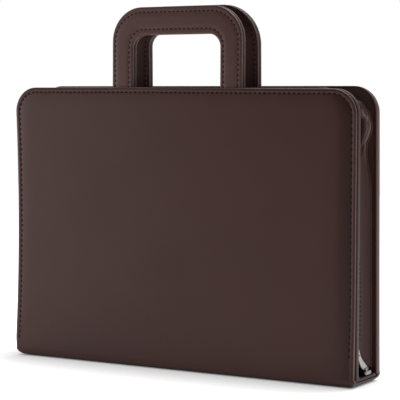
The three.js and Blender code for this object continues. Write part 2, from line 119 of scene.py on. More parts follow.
world = bpy.data.worlds.new("white_room")
world.use_nodes = True
room = world.node_tree
room_back = room.nodes["Background"]
room_back.inputs["Color"].default_value = (1, 1, 1, 1)
bright_side = (0, 0.75, 0.65)
room_levels = {"From Min": -0.2, "From Max": 0.7, "To Min": 0.1, "To Max": 0.7}
room_way = add_node(room, "ShaderNodeTexCoord")
room_side = add_node(room, "ShaderNodeVectorMath", {1: bright_side}, operation="DOT_PRODUCT")
room_level = add_node(room, "ShaderNodeMapRange", room_levels, interpolation_type="SMOOTHSTEP")
room_rays = add_node(room, "ShaderNodeLightPath")
room_shown = add_node(room, "ShaderNodeMath", operation="MAXIMUM")
link_all(room, [
    (room_way, "Generated", room_side, 0),
    (room_side, "Value", room_level, "Value"),
    (room_level, "Result", room_shown, 0),
    (room_rays, "Is Camera Ray", room_shown, 1),
    (room_shown, "Value", room_back, "Strength"),
])
scene.world = world

paper_looks = {
    "Base Color": (0.9, 0.9, 0.9, 1),
    "Roughness": 0.9,
    "Specular IOR Level": 0.1,
    "Emission Color": (1, 1, 1, 1),
}
paper, paper_tree, paper_shader, paper_place = new_material("white_paper", paper_looks)
shade_width = 0.007
glow_end = shade_width + 0.07
under_case = (cad_high.x - shade_width, cad_high.y - shade_width, 0)
glow_levels = {"From Min": shade_width, "From Max": glow_end, "To Min": 0.36, "To Max": 0.8}
front_levels = {"From Min": -0.5, "From Max": -0.13, "To Min": 0.55}
# Painted light: the paper glows more with distance from the case and less far in front, and not at all under
# the case, a painted shadow.
paper_fold = add_node(paper_tree, "ShaderNodeVectorMath", operation="ABSOLUTE")
paper_from = add_node(paper_tree, "ShaderNodeVectorMath", {1: under_case}, operation="SUBTRACT")
paper_out = add_node(paper_tree, "ShaderNodeVectorMath", operation="MAXIMUM")
paper_length = add_node(paper_tree, "ShaderNodeVectorMath", operation="LENGTH")
paper_glow = add_node(paper_tree, "ShaderNodeMapRange", glow_levels)
paper_axes = add_node(paper_tree, "ShaderNodeSeparateXYZ")
paper_front = add_node(paper_tree, "ShaderNodeMapRange", front_levels)
paper_shadow_under_case = add_node(paper_tree, "ShaderNodeMapRange", {"From Max": shade_width})
paper_light = add_node(paper_tree, "ShaderNodeMath", operation="MULTIPLY")
paper_lit = add_node(paper_tree, "ShaderNodeMath", operation="MULTIPLY")
link_all(paper_tree, [
    (paper_place, "Object", paper_fold, 0),
    (paper_fold, "Vector", paper_from, 0),
    (paper_from, "Vector", paper_out, 0),
    (paper_out, "Vector", paper_length, 0),
    (paper_length, "Value", paper_glow, "Value"),
    (paper_length, "Value", paper_shadow_under_case, "Value"),
    (paper_place, "Object", paper_axes, "Vector"),
    (paper_axes, "Y", paper_front, "Value"),
    (paper_glow, "Result", paper_light, 0),
    (paper_front, "Result", paper_light, 1),
    (paper_light, "Value", paper_lit, 0),
    (paper_shadow_under_case, "Result", paper_lit, 1),
    (paper_lit, "Value", paper_shader, "Emission Strength"),
])
floor_reach = 2.2
floor_drop = 0.0002
floor_ways = ((-1, -1), (1, -1), (1, 1), (-1, 1))
floor_mesh = bpy.data.meshes.new("floor")
floor_corners = [(floor_reach * x, floor_reach * y, -floor_drop) for x, y in floor_ways]
floor_mesh.from_pydata(floor_corners, [], [(0, 1, 2, 3)])
floor_mesh.materials.append(paper)
floor = bpy.data.objects.new("floor", floor_mesh)
scene.collection.objects.link(floor)


# The outer cover: one padded wrap of smooth dark brown leather, the front leaf, the spine that
# the case stands on and the back leaf. Its edges are turned in and sewn a few millimetres from
# the edge, and a pocket behind each leaf's skin takes a handle.
# Sizes are in millimetres from here on, but for the nodes' inputs, which are in metres.
MM = 0.001
cover_low, cover_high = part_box("outer_cover")
case_width = (cover_high.x - cover_low.x) / MM
front_height = 256.0
back_height = cover_high.z / MM
base_depth = 54.6
top_depth = 49.2
lean_slope = (base_depth - top_depth) / 2 / front_height
lean = math.atan(lean_slope)
top_corner = 23.0
base_corner = 6.5
left_bow = 3.0
left_tuck = {"depth": 2.4, "top": 14.0, "foot": 1.0}
corner_reach = 40.0
side_run = front_height - top_corner
cover_outside = {"depth": 0.0, "floor": 0.0, "radius": 8.0}
cover_inside = {"depth": 5.4, "floor": 4.0, "radius": 3.0}
pocket_middles = {"front": -1.2, "back": -4.9}
pocket_half = 68.8
pocket_foot = 165.0
pocket_skin = 1.8
pocket_back = 10.9
wall_slope = 0.15
seam_inset = 5.1
top_droop = {"depth": 0.9, "along": (-60.0, 165.0), "rise": (130.0, 250.0)}
# Stations run along the wrap, from 0 at the front leaf's top to 5 at the back leaf's top.
last_station = 5
spine_middle = 2.5
leaf_fade = (0.97, 1.2)
margin_fade = (0.74, 1.06)
# A rounded edge is rows of a share of the thickness and a distance in from the edge.
cover_edge = {
    "reach": 2.4,
    "drawn_in": 0.6,
    "front": [(0.05, 1.3), (0.11, 0.75), (0.18, 0.38), (0.26, 0.14), (0.34, 0.02), (0.42, 0.0), (0.5, 0.1),
              (0.58, 0.5), (0.68, 1.3), (0.82, 2.2)],
    "back": [(0.05, 0.8), (0.12, 0.4), (0.22, 0.12), (0.35, -0.05), (0.5, -0.15), (0.75, -0.2), (1.0, -0.2),
             (1.2, -0.1), (1.35, 0.2), (1.47, 0.9)],
    "under": (2.9, 3.2),
    # the edge's crest is paler, partly rubbed wear and partly a painted highlight along it
    "rubbed_and_highlit": ((0.12, 0.22, 0.46, 0.6), (0.4, 0.8, 1.3, 1.47)),
    "rubbed_and_highlit_back": 0.42,
    # painted light: the back leaf's inner face beside the zip, in shade, is made paler
    "painted_light_under": 0.3,
    "pillow": {"right": 3.0, "left": 0.4, "top": 0.5, "reach": 18.0, "fullness": 2.2},
    "roll": {"rise": 0.5, "most": 0.6},
    "dent": 0.12,
    "dent_width": 0.9,
    # painted shade: darker colour beside the front's right row of stitches and at the folds the case stands
    # on
    "painted_darkening": {"reach": 30.0, "fall": 1.3, "clear": 3.7, "folds": (1.2, 1.6)},
}


def smooth(low, high, value):
    """0 up to low, 1 from high on, and eased between them."""
    share = np.clip((value - low) / (high - low), 0, 1)
    return share * share * (3 - 2 * share)


def face_at(height):
    """How far a leaf's outer face stands from the middle of the case."""
    return base_depth / 2 - height * lean_slope


def section_point(station, side, top_inset=0.0):
    """Y and Z of a wrap's section. Stations 0 to 1 go down the front leaf, 1 to 2 round its fold,
    2 to 3 along the spine, 3 to 4 round the back fold and 4 to 5 up the back leaf."""
    bend_z = side["floor"] + side["radius"]
    bend_y = face_at(bend_z) - side["depth"] - side["radius"]
    part = np.clip(np.floor(station), 0, 4)
    share = station - part
    front_z = front_height - top_inset + share * (bend_z - front_height + top_inset)
    back_z = bend_z + share * (back_height - top_inset - bend_z)
    front_turn = math.pi + share * math.pi / 2
    back_turn = front_turn + math.pi / 2
    parts = [part == number for number in range(5)]
    y = np.select(parts, [
        side["depth"] - face_at(front_z),
        side["radius"] * np.cos(front_turn) - bend_y,
        bend_y * (2 * share - 1),
        side["radius"] * np.cos(back_turn) + bend_y,
        face_at(back_z) - side["depth"],
    ])
    z = np.select(parts, [
        front_z,
        bend_z + side["radius"] * np.sin(front_turn),
        np.full_like(share, side["floor"]),
        bend_z + side["radius"] * np.sin(back_turn),
        back_z,
    ])
    return y, z


def front_droop(x, z):
    """How far the front leaf's top sinks towards its right end."""
    return top_droop["depth"] * smooth(*top_droop["along"], x) * smooth(*top_droop["rise"], z)


def bow_at(z):
    """How far the left edge bows in at a height."""
    share = np.clip((z - base_corner) / (side_run - base_corner), 0, 1)
    return 4 * left_bow * share * (1 - share)


def case_shape(points):
    """Rounds the leaves' lower corners, draws the left edge in and lets the front's top sink."""
    x, z = points[:, 0], points[:, 2]
    half = case_width / 2
    low = np.clip(base_corner - z, 0, base_corner)
    tuck = left_tuck["depth"] * smooth(left_tuck["top"], left_tuck["foot"], z)
    inset = base_corner - np.sqrt(base_corner ** 2 - low ** 2) + np.where(x < 0, tuck, 0)
    bow = bow_at(z) * (np.clip(-x, 0, None) / half) ** 2
    droop = np.where(points[:, 1] < 0, front_droop(x, z), 0)
    points[:, 0] = x - np.sign(x) * inset * smooth(half - corner_reach, half, np.abs(x)) + bow
    points[:, 2] = z - droop
    return points


def ply_point(x, station, depth, ply):
    """A point of a ply, at a depth in from its outer face."""
    y0, z0 = section_point(station, ply["outside"], ply["top_inset"])
    y1, z1 = section_point(station, ply["inside"], ply["top_inset"])
    share = depth / np.hypot(y1 - y0, z1 - z0)
    points = np.stack([x, y0 + share * (y1 - y0), z0 + share * (z1 - z0)], axis=-1)
    return case_shape(points.reshape(-1, 3))


def from_top(station):
    """How many stations down from the top edge of the nearer leaf."""
    return np.minimum(station, last_station - station)


def leaf_share(station):
    """1 on the leaves and 0 on the spine."""
    return 1 - smooth(*leaf_fade, from_top(station))


def margin_share(station):
    """1 on the leaves, fading to 0 towards the spine."""
    return 1 - smooth(*margin_fade, from_top(station))


def margin_dip(distance, outward_x, edge, is_front):
    """How far a leaf's face sinks towards its edge, like a cushion, and along its row of stitches."""
    pillow, roll = edge["pillow"], edge["roll"]
    sideways = np.where(is_front & (outward_x > 0), pillow["right"], pillow["left"])
    drop = pillow["top"] + (sideways - pillow["top"]) * np.abs(outward_x)
    share = np.clip((pillow["reach"] - distance) / (pillow["reach"] - seam_inset), 0, 1)
    rolled = np.minimum(roll["rise"] * smooth(seam_inset, edge["reach"], distance), roll["most"] * drop)
    dent = edge["dent"] * np.exp(-((distance - seam_inset) / edge["dent_width"]) ** 2)
    return drop * share ** pillow["fullness"] - rolled + dent


def painted_wrap_shade(x, station, distance, ply):
    """How much shade is painted into the wrap's colour: from 0 to -1 beside the front's right row of
    stitches and at the folds that it stands on."""
    painted_darkening = ply["edge"]["painted_darkening"]
    from_edge = ply["half_width"](station) - x
    share = np.clip((painted_darkening["reach"] - from_edge) / (painted_darkening["reach"] - seam_inset), 0, 1)
    seam_shade = np.where(station < spine_middle, share ** painted_darkening["fall"], 0) * leaf_share(station)
    seam_shade = seam_shade * smooth(painted_darkening["clear"], seam_inset, distance)
    return -np.maximum(seam_shade, smooth(*painted_darkening["folds"], from_top(station)))


def leaf_runs(ply):
    """The lengths of the front and the back leaf, from the top edge down to the fold."""
    below = ply["top_inset"] + ply["outside"]["floor"] + ply["outside"]["radius"]
    return front_height - below, back_height - below


def corner_at(station, ply):
    """The radius of the top corners, from the front leaf's to the back leaf's."""
    front_corner, back_corner = ply["corners"]
    corner_change = (4.05, 4.3)
    return front_corner + (back_corner - front_corner) * smooth(*corner_change, station)


def layers(x, station, ply):
    """The depths of a ply's outer and inner face, which step in where the pocket is."""
    y0, z0 = section_point(station, ply["outside"], ply["top_inset"])
    y1, z1 = section_point(station, ply["inside"], ply["top_inset"])
    middle = np.where(station < spine_middle, pocket_middles["front"], pocket_middles["back"])
    in_pocket = (np.abs(x - middle) < pocket_half) & (z0 > pocket_foot)
    low = np.where(in_pocket, ply["pocket"][0], 0.0)
    high = np.where(in_pocket, ply["pocket"][1], np.hypot(y1 - y0, z1 - z0))
    return low, high


def face_grid(ply):
    """Stations and places across of a grid over a ply, with close lines at the pockets' walls."""
    leaf_step = 12.0
    fold_rows = 9
    spine_rows = 7
    face_columns = 29
    leaves = []
    for run, corner, top in zip(leaf_runs(ply), ply["corners"], (front_height, back_height)):
        foot = top - ply["top_inset"] - pocket_foot
        rows = [*np.arange(corner, run - leaf_step / 2, leaf_step), run, foot - wall_slope, foot + wall_slope]
        leaves.append(np.unique(rows) / run)
    stations = np.concatenate([
        leaves[0],
        np.linspace(1, 2, fold_rows),
        np.linspace(2, 3, spine_rows),
        np.linspace(3, 4, fold_rows),
        last_station - leaves[1],
    ])
    stations = np.unique(stations.round(9))
    reach = ply["half_width"](stations) - corner_at(stations, ply)
    walls = [side * pocket_half + slope * wall_slope for side in (-1, 1) for slope in (-1, 1)]
    columns = [*np.linspace(-1, 1, face_columns)]
    for row, middle in ((0, pocket_middles["front"]), (-1, pocket_middles["back"])):
        columns += [(middle + wall) / reach[row] for wall in walls]
    columns = np.unique(np.round(columns, 9))
    return stations, columns[None, :] * reach[:, None]


def edge_spokes(rows, cols):
    """Row and column of each spoke's foot on the grid's border, and its ways sideways and upwards."""
    arc_steps = 14
    arc = np.arange(1, arc_steps) * math.pi / 2 / arc_steps
    spokes = [(0, i, 0.0, 1.0) for i in range(cols)]
    spokes += [(0, cols - 1, math.sin(turn), math.cos(turn)) for turn in arc]
    spokes += [(j, cols - 1, 1.0, 0.0) for j in range(rows)]
    spokes += [(rows - 1, cols - 1, math.cos(turn), math.sin(turn)) for turn in arc]
    spokes += [(rows - 1, i, 0.0, 1.0) for i in reversed(range(cols))]
    spokes += [(rows - 1, 0, -math.sin(turn), math.cos(turn)) for turn in arc]
    spokes += [(j, 0, -1.0, 0.0) for j in reversed(range(rows))]
    spokes += [(0, 0, -math.cos(turn), math.sin(turn)) for turn in arc]
    return [np.array(column) for column in zip(*spokes)]


def ply_faces(rows, cols, feet, rings):
    """Faces of the outer and the inner grid, and of the rings that join their borders."""
    faces = []
    count = len(feet)
    inner_start = rows * cols + rings * count
    for start in (0, inner_start):
        for j in range(rows - 1):
            for i in range(cols - 1):
                a = start + j * cols + i
                faces.append((a, a + 1, a + cols + 1, a + cols))
    loops = [feet]
    loops += [rows * cols + number * count + np.arange(count) for number in range(rings)]
    loops += [inner_start + feet]
    for near, far in zip(loops, loops[1:]):
        for p in range(count):
            q = (p + 1) % count
            corners = [near[p], near[q], far[q], far[p]]
            faces.append(tuple(dict.fromkeys(int(corner) for corner in corners)))
    return faces


def wrap_ply(ply):
    """Points, faces and values of wear and painted light of one wrapped ply: a grid over each face,
    rings of faces round the grids out to the edge, and a rounded edge between them."""
    edge = ply["edge"]
    face_rings = [18, 15.5, 13, 10.8, 9, 7.6, 6.6, 5.8, 5.1, 4.4, 3.7, 3.0, edge["reach"]]
    spine_round = 0.06
    front_leaf, back_leaf = leaf_runs(ply)
    stations, grid_x = face_grid(ply)
    rows, cols = grid_x.shape
    foot_row, foot_col, out_x, out_top = edge_spokes(rows, cols)
    foot_x, foot_s = grid_x[foot_row, foot_col], stations[foot_row]
    corner = corner_at(foot_s, ply)
    top_step = np.where(foot_row == 0, -1 / front_leaf, 1 / back_leaf)
    is_front = foot_s < spine_middle
    leaf_part = leaf_share(foot_s)
    flatter = spine_round + (1 - spine_round) * leaf_part
    hem = np.where(is_front, 1.0, out_x ** 2 * leaf_part)
    rubbed_and_highlit = [np.where(is_front, *ends) for ends in zip(*edge["rubbed_and_highlit"])]
    drawn = np.where(is_front, edge["drawn_in"] * np.clip(1 + out_x, 0, 1) * leaf_part, 0)
    under_rings = [np.where(is_front, *edge["under"]) * flatter + drawn, 6.0, 12.0, 18.0]
    points, wear_and_painted_light = [], []

    def ring(distance):
        out = corner - distance - (corner - top_corner) * (distance / top_corner) ** 2
        x, station = foot_x + out_x * out, foot_s + out_top * out * top_step
        return x, station, *layers(x, station, ply)

    def sunk(distance, station):
        return margin_dip(distance, out_x, edge, is_front) * margin_share(station) if ply["sewn"] else 0.0

    def painted_shade(x, station, distance):
        return painted_wrap_shade(x, station, distance, ply) if ply["sewn"] else 0.0

    def add(x, station, depth, worn_and_painted_light):
        points.append(ply_point(x, station, depth, ply))
        wear_and_painted_light.append(np.broadcast_to(worn_and_painted_light, x.shape))

    grid = grid_x.ravel(), np.repeat(stations, cols)
    grid_low, grid_high = layers(*grid, ply)
    # The faces carry painted shade beside the front's right row of stitches and at the folds.
    add(*grid, grid_low, painted_shade(*grid, top_corner))
    for distance in face_rings:
        x, station, low, high = ring(distance)
        add(x, station, low + sunk(distance, station), painted_shade(x, station, distance))
    for front_step, back_step in zip(edge["front"], edge["back"]):
        across, inward = (np.where(is_front, *pair) for pair in zip(front_step, back_step))
        x, station, low, high = ring(inward * flatter + drawn)
        start = low + sunk(edge["reach"], station)
        # The edge's crest is paler, partly from rubbed wear and partly a painted highlight.
        worn_and_painted_light = smooth(rubbed_and_highlit[0], rubbed_and_highlit[1], across) * smooth(rubbed_and_highlit[3], rubbed_and_highlit[2], across)
        worn_and_painted_light = worn_and_painted_light * leaf_share(station) * np.where(is_front, 1, edge["rubbed_and_highlit_back"])
        across = np.minimum(across, 1) + np.maximum(across - 1, 0) * hem
        add(x, station, start + (high - start) * across, worn_and_painted_light)
    for distance in under_rings:
        x, station, low, high = ring(distance)
        # Painted light: the back leaf's inner face, in the shade of the recess by the zip, is paler.
        add(x, station, high, np.where(is_front, 0, edge["painted_light_under"] * leaf_share(station)))
    add(*grid, grid_high, 0.0)
    rings = len(face_rings) + len(edge["front"]) + len(under_rings)
    faces = ply_faces(rows, cols, foot_row * cols + foot_col, rings)
    return np.concatenate(points), faces, np.concatenate(wear_and_painted_light)


def add_piece(name, points, faces, material, wear_and_painted_light=None, sharp_over=50):
    """A closed mesh from millimetre points, facing out, smooth but for its sharp edges."""
    mesh = bpy.data.meshes.new(name)
    mesh.from_pydata((np.asarray(points) * MM).tolist(), [], faces)
    if wear_and_painted_light is not None:
        mesh.attributes.new("wear_and_painted_light", "FLOAT", "POINT").data.foreach_set("value", wear_and_painted_light.astype(np.float32))
    shape = bmesh.new()
    shape.from_mesh(mesh)
    bmesh.ops.recalc_face_normals(shape, faces=shape.faces)
    for face in shape.faces:
        face.smooth = True
    for line in shape.edges:
        line.smooth = len(line.link_faces) != 2 or line.calc_face_angle(0) < math.radians(sharp_over)
    shape.to_mesh(mesh)
    shape.free()
    mesh.materials.append(material)
    piece = bpy.data.objects.new(name, mesh)
    scene.collection.objects.link(piece)
    return piece


def two_tones(tree, deep, light, low=0.0, high=1.0):
    """A ramp from a deep to a light tone."""
    ramp = add_node(tree, "ShaderNodeValToRGB")
    for stop, position, tone in zip(ramp.color_ramp.elements, (low, high), (deep, light)):
        stop.position = position
        stop.color = (*tone, 1)
    return ramp


def leather(name, deep, light, worn_and_painted_light, roughness, sheen):
    """Smooth finished leather: a slow change of tone, a fine pebbled grain, paler where it is rubbed
    and where a highlight is painted on, and darker where shade is painted on."""
    gloss_change = 0.06
    rubbed_and_highlit_sheen = 0.28
    painted_shade_levels = {"From Min": -1, "From Max": 0, "To Min": 0.55}
    gloss_levels = {"To Min": roughness - gloss_change, "To Max": roughness + gloss_change}
    pore_depth = 0.35
    material, tree, shader, place = new_material(name, {"Specular IOR Level": sheen})
    tone = add_node(tree, "ShaderNodeTexNoise", {"Scale": 14, "Detail": 5})
    tones = two_tones(tree, deep, light, low=0.3, high=0.7)
    edge = add_node(tree, "ShaderNodeAttribute", attribute_name="wear_and_painted_light")
    # Painted shade: the tone is darkened where the attribute is below 0.
    painted_shade = add_node(tree, "ShaderNodeMapRange", painted_shade_levels)
    painted_darkening = add_node(tree, "ShaderNodeVectorMath", operation="SCALE")
    # Paler where rubbed, and where a highlight is painted along edges and fold crests.
    rub_and_highlight = add_node(tree, "ShaderNodeMix", {"B": (*worn_and_painted_light, 1)}, data_type="RGBA")
    pebbles = add_node(tree, "ShaderNodeTexVoronoi", {"Scale": 850}, feature="SMOOTH_F1")
    pores = add_node(tree, "ShaderNodeTexNoise", {"Scale": 2600, "Detail": 3})
    height = add_node(tree, "ShaderNodeMath", {1: pore_depth}, operation="MULTIPLY_ADD")
    bump = add_node(tree, "ShaderNodeBump", {"Strength": 0.5, "Distance": 0.00008})
    gloss = add_node(tree, "ShaderNodeMapRange", gloss_levels)
    shine = add_node(tree, "ShaderNodeMapRange", {"To Min": sheen, "To Max": rubbed_and_highlit_sheen})
    link_all(tree, [
        (place, "Object", tone, "Vector"),
        (place, "Object", pebbles, "Vector"),
        (place, "Object", pores, "Vector"),
        (tone, "Fac", tones, "Fac"),
        (edge, "Fac", painted_shade, "Value"),
        (tones, "Color", painted_darkening, "Vector"),
        (painted_shade, "Result", painted_darkening, "Scale"),
        (painted_darkening, "Vector", rub_and_highlight, "A"),
        (edge, "Fac", rub_and_highlight, "Factor"),
        (edge, "Fac", shine, "Value"),
        (shine, "Result", shader, "Specular IOR Level"),
        (rub_and_highlight, "Result", shader, "Base Color"),
        (tone, "Fac", gloss, "Value"),
        (gloss, "Result", shader, "Roughness"),
        (pores, "Fac", height, 0),
        (pebbles, "Distance", height, 2),
        (height, "Value", bump, "Height"),
        (bump, "Normal", shader, "Normal"),
    ])
    return material


# The third tone is the pale one of rubbed wear and of the painted highlights on the edges.
cover_tones = (0.041, 0.0142, 0.0113), (0.0475, 0.0168, 0.0135), (0.165, 0.105, 0.094)
cover_leather = leather("cover_leather", *cover_tones, roughness=0.46, sheen=0.22)
cover_ply = {
    "outside": cover_outside,
    "inside": cover_inside,
    "top_inset": 0.0,
    "corners": (top_corner, top_corner),
    "half_width": lambda station: np.full_like(station, case_width / 2),
    "pocket": (0.0, pocket_skin),
    "edge": cover_edge,
    "sewn": True,
}
cover_points, cover_faces, cover_wear_and_painted_light = wrap_ply(cover_ply)
cover = add_piece("cover", cover_points, cover_faces, cover_leather, cover_wear_and_painted_light)
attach(cover, "case")
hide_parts("outer_cover")


# The inner lining: a second ply of the same leather glued inside the cover. Its rounded edge shows
# as a second line round the front leaf, and it stays back from the back leaf's edges.
lining_outside = {"depth": 5.7, "floor": 4.3, "radius": 2.7}
lining_inside = {"depth": 12.3, "floor": 6.9, "radius": 3.0}
lining_thickness = lining_inside["depth"] - lining_outside["depth"]
lining_front_inset = 0.6
lining_spine_inset = 0.7
lining_back_inset = 10.0
lining_back_corner = 45.0
lining_spine_turn = (1.3, 2.0)
lining_back_turn = (3.6, 4.08)
never_rubbed_nor_highlit = (2.0, 3.0, 4.0, 5.0)
lining_round = [(0.01, 2.3), (0.025, 1.6), (0.05, 1.0), (0.09, 0.5), (0.14, 0.15), (0.2, 0.02), (0.3, 0.0),
                (0.7, 0.02), (0.85, 0.15), (0.95, 0.45)]
lining_edge = {
    **cover_edge,
    "reach": 2.6,
    "drawn_in": 0.0,
    "front": lining_round,
    "back": lining_round,
    "under": (0.9, 0.9),
    "rubbed_and_highlit": ((0.26, 0.4, 0.62, 0.82), never_rubbed_nor_highlit),
}


def lining_half_width(station):
    """Half the lining's width, which is less on the back leaf."""
    spine_step = lining_spine_inset - lining_front_inset
    back_step = lining_back_inset - lining_spine_inset
    inset = lining_front_inset + spine_step * smooth(*lining_spine_turn, station)
    return case_width / 2 - inset - back_step * smooth(*lining_back_turn, station)


lining_tones = (0.029, 0.0103, 0.0085), (0.034, 0.0125, 0.0105), (0.045, 0.024, 0.0205)
lining_leather = leather("lining_leather", *lining_tones, roughness=0.5, sheen=0.2)
lining_ply = {
    "outside": lining_outside,
    "inside": lining_inside,
    "top_inset": lining_front_inset,
    "corners": (top_corner - lining_front_inset, lining_back_corner),
    "half_width": lining_half_width,
    "pocket": (pocket_back - lining_outside["depth"], lining_thickness),
    "edge": lining_edge,
    "sewn": False,
}
lining_points, lining_faces, lining_wear_and_painted_light = wrap_ply(lining_ply)
lining = add_piece("lining", lining_points, lining_faces, lining_leather, lining_wear_and_painted_light)
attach(lining, "case")
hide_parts("inner_lining")


# The gusset: one strip of soft leather sewn along the lining's edge, up the right side, over the
# top and down the left side to the zip. Its lower ends are cut on a slant, and at the top right
# corner it is pushed out in a bulge with a pleat beside it.
piece_gap = 0.3
corner_run = math.pi / 2 * top_corner
rim_run = 2 * side_run + 2 * corner_run + case_width - 2 * top_corner
strip_thickness = 1.6
strip_front_run = [
    {"along": 0, "inset": 2.2},
    {"along": 225, "inset": 2.2},
    {"along": 262, "inset": 6.5},
]
strip_sag = 1.2
strip_end = 13.5
strip_end_rise = 24.5
strip_end_curve = 1.5
strip_zip_gap = 0.45
teeth_width = 5.5
teeth_height = 2.0
right_zip_run = [
    {"along": 0, "y": 14.9, "inset": 2.6},
    {"along": 165, "y": 13.2, "inset": 2.6},
    {"along": 203, "y": 7.5, "inset": 4.2},
    {"along": 222, "y": 11.4, "inset": 0.9},
    {"along": 244, "y": 7.5, "inset": 5.5},
    {"along": 262, "y": 5.0, "inset": 9.0},
]
left_zip_run = [
    {"along": 0, "y": 14.9, "inset": 2.6},
    {"along": 165, "y": 13.2, "inset": 2.6},
    {"along": 225, "y": 6.5, "inset": 2.6},
    {"along": 262, "y": 5.0, "inset": 9.0},
]
strip_folds = [
    {"along": 216, "across": 0.22, "reach": 12, "width": 0.12, "slant": 0.004, "depth": 4.6},
    {"along": 220, "across": 0.42, "reach": 13, "width": 0.07, "slant": 0.004, "depth": -4.4},
    {"along": 221, "across": 0.68, "reach": 10, "width": 0.13, "slant": 0, "depth": 2.4},
    {"along": 234, "across": 0.26, "reach": 7, "width": 0.11, "slant": -0.04, "depth": -4.0},
    {"along": 200, "across": 0.5, "reach": 7.5, "width": 0.075, "slant": 0.05, "depth": 2.6},
]
crest_rub_and_highlight = 0.7
bulge_rub_and_highlight = {"along": 216, "reach": 17, "across": (0.74, 0.94), "worn_and_painted_light": 0.7}


def rim_point(distance):
    """The line along the edges of the covers: place, distance from its own foot and outward way."""
    is_left = distance > rim_run / 2
    along = np.where(is_left, rim_run - distance, distance)
    turn = np.clip((along - side_run) / top_corner, 0, math.pi / 2)
    on_top = np.clip(along - side_run - corner_run, 0, None)
    z = np.minimum(along, side_run) + top_corner * np.sin(turn)
    x = case_width / 2 - top_corner + top_corner * np.cos(turn) - on_top - np.where(is_left, bow_at(z), 0)
    side = np.where(is_left, -1, 1)
    return {
        "along": along,
        "is_left": is_left,
        "x": side * x,
        "z": z,
        "out_x": side * np.cos(turn),
        "out_z": np.sin(turn),
    }


def rim_place(rim, y, inset):
    """Points at a depth and at an inset from the line along the edges."""
    return np.stack([rim["x"] - rim["out_x"] * inset, y, rim["z"] - rim["out_z"] * inset], axis=-1)


def eased(rows, along, key):
    """A table's value at a distance, eased from row to row."""
    value = rows[0][key]
    for before, after in zip(rows, rows[1:]):
        value = value + (after[key] - before[key]) * smooth(before["along"], after["along"], along)
    return value


def zip_at(rim, key):
    """A value of the zip's own way along the rim."""
    right, left = (eased(rows, rim["along"], key) for rows in (right_zip_run, left_zip_run))
    return np.where(rim["is_left"], left, right)


def lining_face_at(height):
    """How far the lining's inner face stands from the middle of the case."""
    return face_at(np.minimum(height, front_height)) - lining_inside["depth"]


def fold_weight(fold, along, across, width_share=1.0):
    """1 along the middle of a fold and less around it."""
    away = (along - fold["along"]) / fold["reach"]
    middle = fold["across"] + fold["slant"] * (along - fold["along"])
    return np.exp(-(away ** 2) - ((across - middle) / (width_share * fold["width"])) ** 2)


def strip_place(distance, across):
    """The strip's outer face, from the lining to the zip: rim, depth and inset."""
    rim = rim_point(distance)
    front = piece_gap - lining_face_at(rim["z"])
    back = zip_at(rim, "y") - teeth_width / 2 - strip_zip_gap
    front_inset = eased(strip_front_run, rim["along"], "inset")
    inset = front_inset + (zip_at(rim, "inset") - front_inset) * across
    inset = inset + 4 * strip_sag * across * (1 - across)
    for fold in strip_folds:
        sunk = fold["depth"] * fold_weight(fold, rim["along"], across)
        inset = inset + np.where(rim["is_left"], 0, sunk)
    return rim, front + (back - front) * across, inset


def crest_wear_and_highlight(steps, section):
    """How pale the strip is made along the crests of its folds and where it bulges at the zip, partly rubbed
    wear and partly a painted highlight.
    """
    rim = rim_point(steps[:, None])
    across = np.array([pair[0] for pair in section])[None, :]
    bulge = np.exp(-((rim["along"] - bulge_rub_and_highlight["along"]) / bulge_rub_and_highlight["reach"]) ** 2)
    worn_and_painted_light = bulge_rub_and_highlight["worn_and_painted_light"] * bulge * smooth(*bulge_rub_and_highlight["across"], across)
    for fold in strip_folds:
        if fold["depth"] < 0:
            worn_and_painted_light = worn_and_painted_light + fold_weight(fold, rim["along"], across, crest_rub_and_highlight)
    return np.where(rim["is_left"], 0, np.minimum(worn_and_painted_light, 1)).ravel()


def rim_steps(end, fine):
    """Distances along the rim, closer together round the folded corner, with ends that round over."""
    corner = side_run + corner_run
    fold_start = 180
    fold_end = 270
    fold_after = corner + 15
    corner_room = 2
    end_room = 3
    rounding = np.array([0, 0.2, 0.6])
    middle = np.concatenate([
        np.arange(end + end_room, fold_start, 4 * fine),
        np.arange(fold_start, fold_end, fine),
        np.arange(fold_end, fold_after, 2 * fine),
        np.arange(fold_after, rim_run - corner - corner_room, 5 * fine),
        np.arange(rim_run - corner, rim_run - side_run, 2 * fine),
        np.arange(rim_run - side_run, rim_run - end - end_room, 4 * fine),
    ])
    return np.concatenate([end + rounding, middle, rim_run - end - rounding[::-1]])


def tube_faces(steps, count):
    """Faces of a closed tube through loops of points, with both its ends."""
    faces = [tuple(range(count)), tuple((steps - 1) * count + i for i in reversed(range(count)))]
    for row in range(steps - 1):
        for i in range(count):
            j = (i + 1) % count
            faces.append((row * count + i, (row + 1) * count + i, (row + 1) * count + j, row * count + j))
    return faces


def rim_band(steps, section, thickness, place):
    """A closed band along the rim from its section, a loop of (across, depth) pairs."""
    across = np.array([pair[0] for pair in section])
    depth = np.array([pair[1] for pair in section])
    end_shares = (0.3, 0.75)
    end_squeeze = np.ones(len(steps))
    for step, share in enumerate(end_shares):
        end_squeeze[[step, -1 - step]] = share
    depths = thickness / 2 + (depth[None, :] - thickness / 2) * end_squeeze[:, None]
    distances = np.repeat(steps[:, None], len(section), axis=1)
    rim, y, inset = place(distances, np.repeat(across[None, :], len(steps), axis=0))
    points = rim_place(rim, y, inset + depths)
    return points.reshape(-1, 3), tube_faces(len(steps), len(section))


def rounded_section(columns, thickness, round_share):
    """A flat section with rounded long edges, as a loop of (across, depth) pairs."""
    across = np.linspace(2 * round_share, 1 - 2 * round_share, columns)
    shoulder = 0.6 * round_share
    drop = 0.15 * thickness
    loop = [(0, thickness / 2), (shoulder, drop), *((share, 0) for share in across)]
    loop += [(1 - shoulder, drop), (1, thickness / 2), (1 - shoulder, thickness - drop)]
    loop += [*((share, thickness) for share in across[::-3]), (shoulder, thickness - drop)]
    return loop


